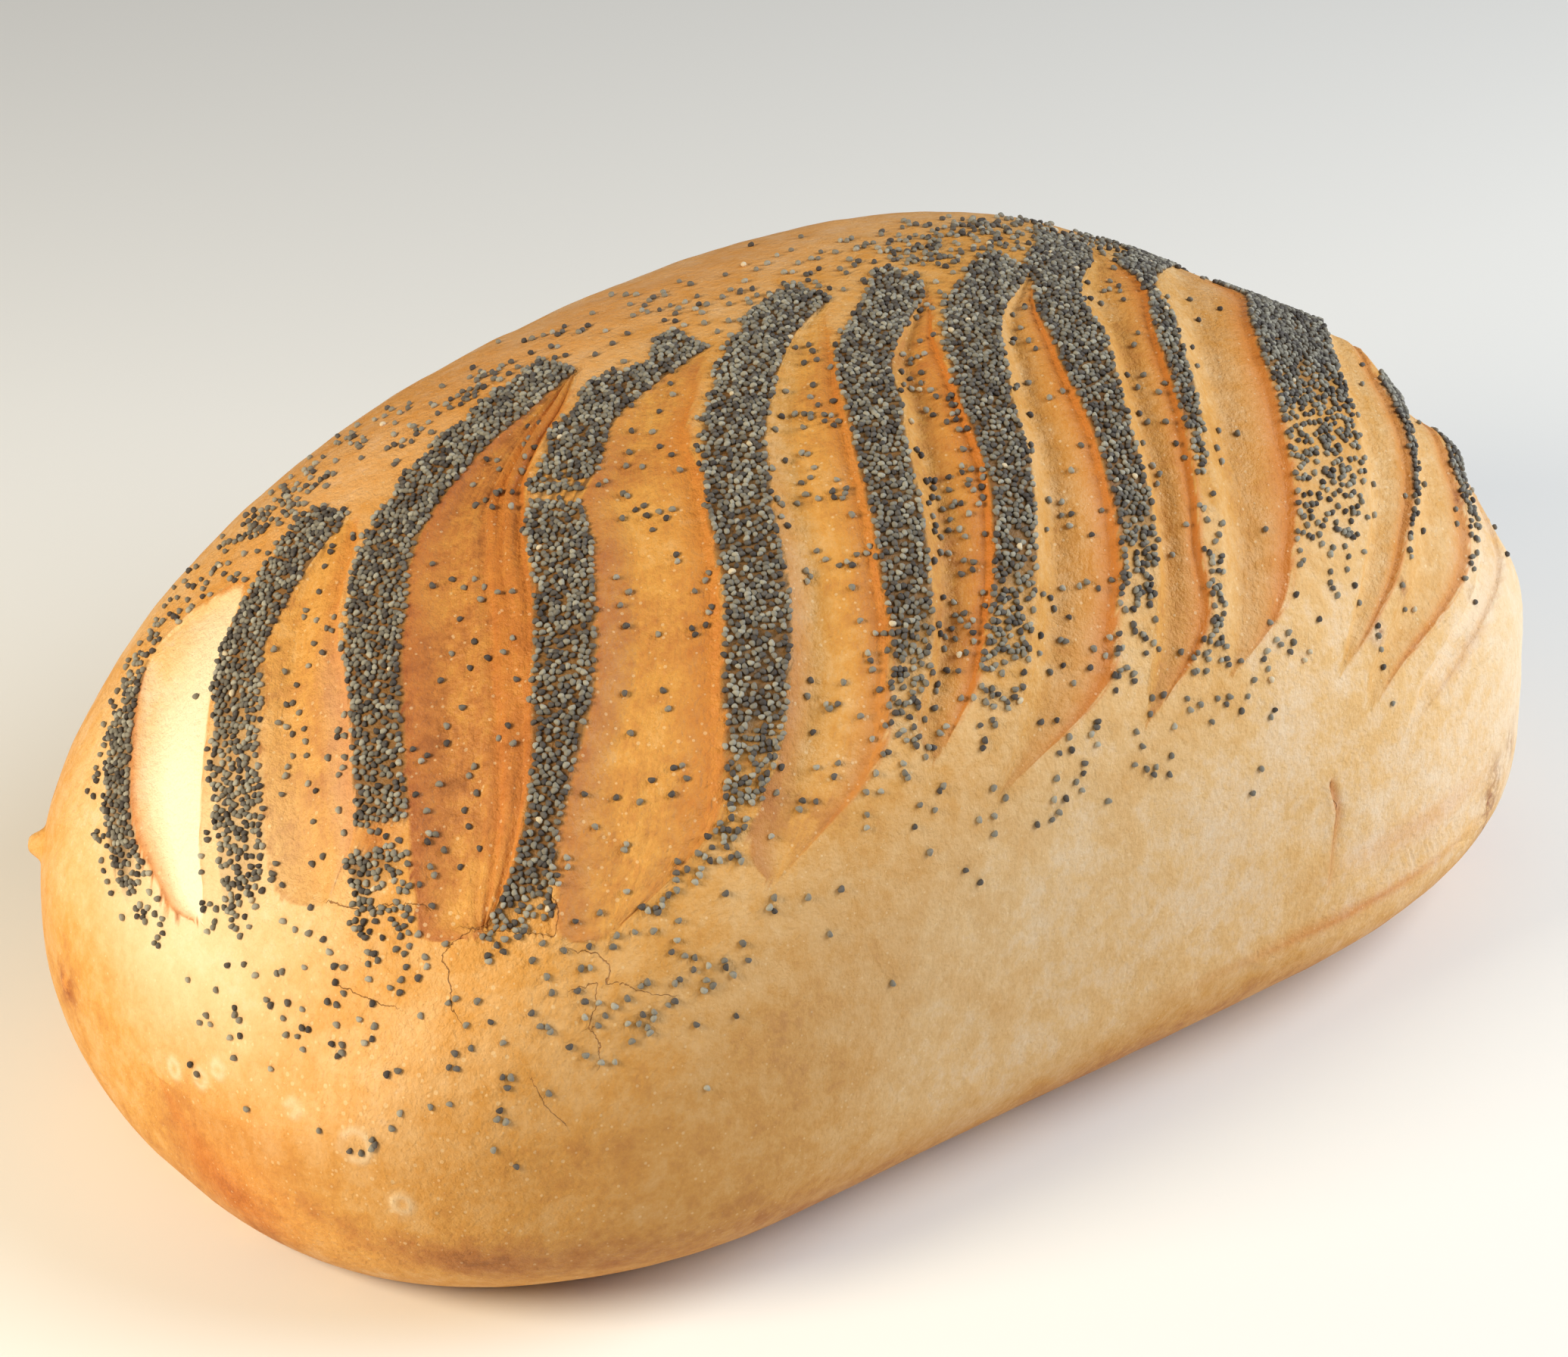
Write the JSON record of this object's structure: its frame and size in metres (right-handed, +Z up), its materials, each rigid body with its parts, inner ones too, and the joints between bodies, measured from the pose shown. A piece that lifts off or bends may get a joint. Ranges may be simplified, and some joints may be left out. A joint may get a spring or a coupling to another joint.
{
  "type": "poppy seed bloomer loaf",
  "caption": "Long oval bread loaf with a rounded golden crust, slanting slashes across the top and front, poppy seeds on the skin between them, and a flat base.",
  "frame": {"origin": "bottom centre of the loaf's bounding box, on the surface it rests on", "axes": "+X along the loaf towards its taller end, +Y towards the plain back, away from the slashed front, +Z up"},
  "size_m": [0.261, 0.1676, 0.1124],
  "materials": {
    "crust": "baked golden crust, satin, paler on the lower front and deeper orange in the slashes",
    "poppy_seed": "slate grey-blue, dull"
  },
  "bodies": {
    "root": {"loaf": "crust"}
  },
  "joints": []
}
